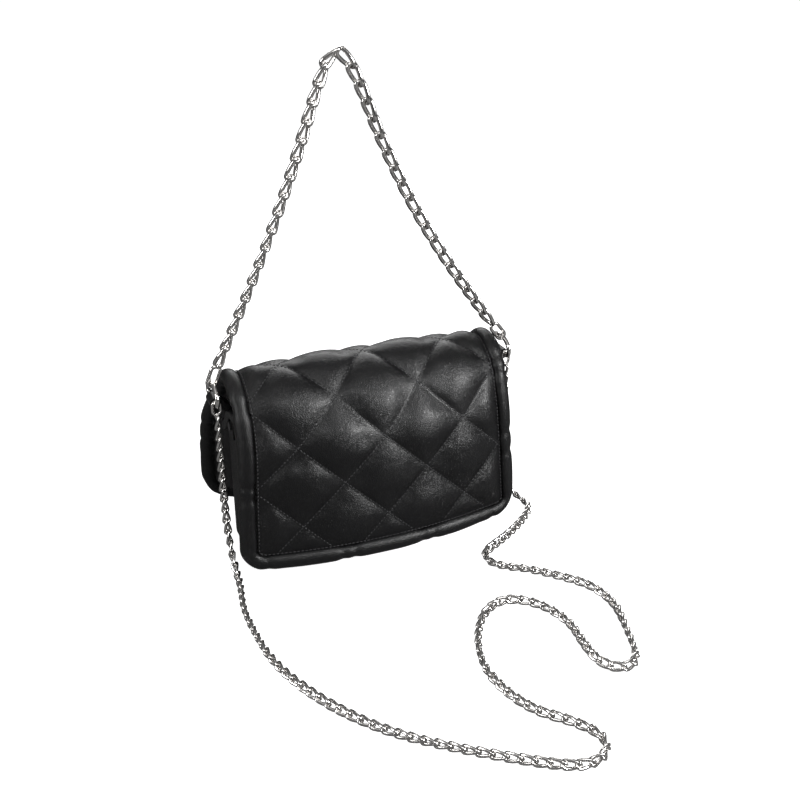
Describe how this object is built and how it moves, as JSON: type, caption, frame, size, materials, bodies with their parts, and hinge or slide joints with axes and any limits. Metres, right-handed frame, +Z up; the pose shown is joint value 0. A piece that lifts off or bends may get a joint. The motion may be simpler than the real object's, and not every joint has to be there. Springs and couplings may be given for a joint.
{
  "type": "crossbody purse",
  "caption": "Small quilted leather shoulder bag with a wrap-over snap flap, padded borders, side rings, a carrying chain on top and a long chain strap.",
  "frame": {"origin": "on the surface the bag stands on, under the middle of the bag", "axes": "+X along the bag, +Y out of the quilted back panel, the flap faces -Y, +Z up"},
  "size_m": [0.2279, 0.3252, 0.3226],
  "materials": {
    "quilted_leather": "semi-gloss black quilted leather",
    "plain_leather": "semi-gloss black smooth leather",
    "foam": "soft padding",
    "stiffener": "matt fibre board",
    "lining_cloth": "dark smooth lining cloth",
    "steel": "plain steel",
    "plated_metal": "polished nickel plate",
    "chain": "polished nickel plate"
  },
  "bodies": {
    "bag": {"back_leather": "quilted_leather", "back_wadding": "foam", "back_board": "stiffener", "back_lining": "lining_cloth", "back_border": "plain_leather", "back_border_core": "foam", "base_leather": "plain_leather", "base_board": "stiffener", "base_lining": "lining_cloth", "front_leather": "plain_leather", "front_board": "stiffener", "front_lining": "lining_cloth", "front_edge_binding": "plain_leather", "front_snap_washer": "steel", "front_snap_cup": "plated_metal", "slip_pocket": "lining_cloth", "gusset_left": "plain_leather", "gusset_lining_left": "lining_cloth", "side_welt_left": "plain_leather", "ring_tab_left": "plain_leather", "gusset_right": "plain_leather", "gusset_lining_right": "lining_cloth", "side_welt_right": "plain_leather", "ring_tab_right": "plain_leather", "tab_rivets": "plated_metal", "handle_chain": "chain", "crossbody_chain": "chain"},
    "flap": {"flap_leather": "quilted_leather", "flap_wadding": "foam", "flap_board": "stiffener", "flap_lining": "lining_cloth", "flap_border": "plain_leather", "flap_border_core": "foam", "flap_snap_washer": "steel", "flap_snap_stud": "plated_metal"},
    "ring_left": {"d_ring_left": "plated_metal", "handle_end_link_left": "plated_metal", "strap_end_link_left": "plated_metal"},
    "ring_right": {"d_ring_right": "plated_metal", "handle_end_link_right": "plated_metal", "strap_end_link_right": "plated_metal"}
  },
  "joints": [
    {"name": "flap_hinge", "type": "hinge", "parent": "bag", "child": "flap", "pos_m": [0, -0.00544, 0.12643], "axis": [-1, 0, 0], "range_deg": [-11.2, 120]},
    {"name": "ring_swing_left", "type": "hinge", "parent": "bag", "child": "ring_left", "pos_m": [0.1015, 0.01, 0.11408], "axis": [0, 1, 0], "range_deg": [0, 12]},
    {"name": "ring_swing_right", "type": "hinge", "parent": "bag", "child": "ring_right", "pos_m": [-0.1015, 0.01, 0.11408], "axis": [0, -1, 0], "range_deg": [0, 12]}
  ]
}
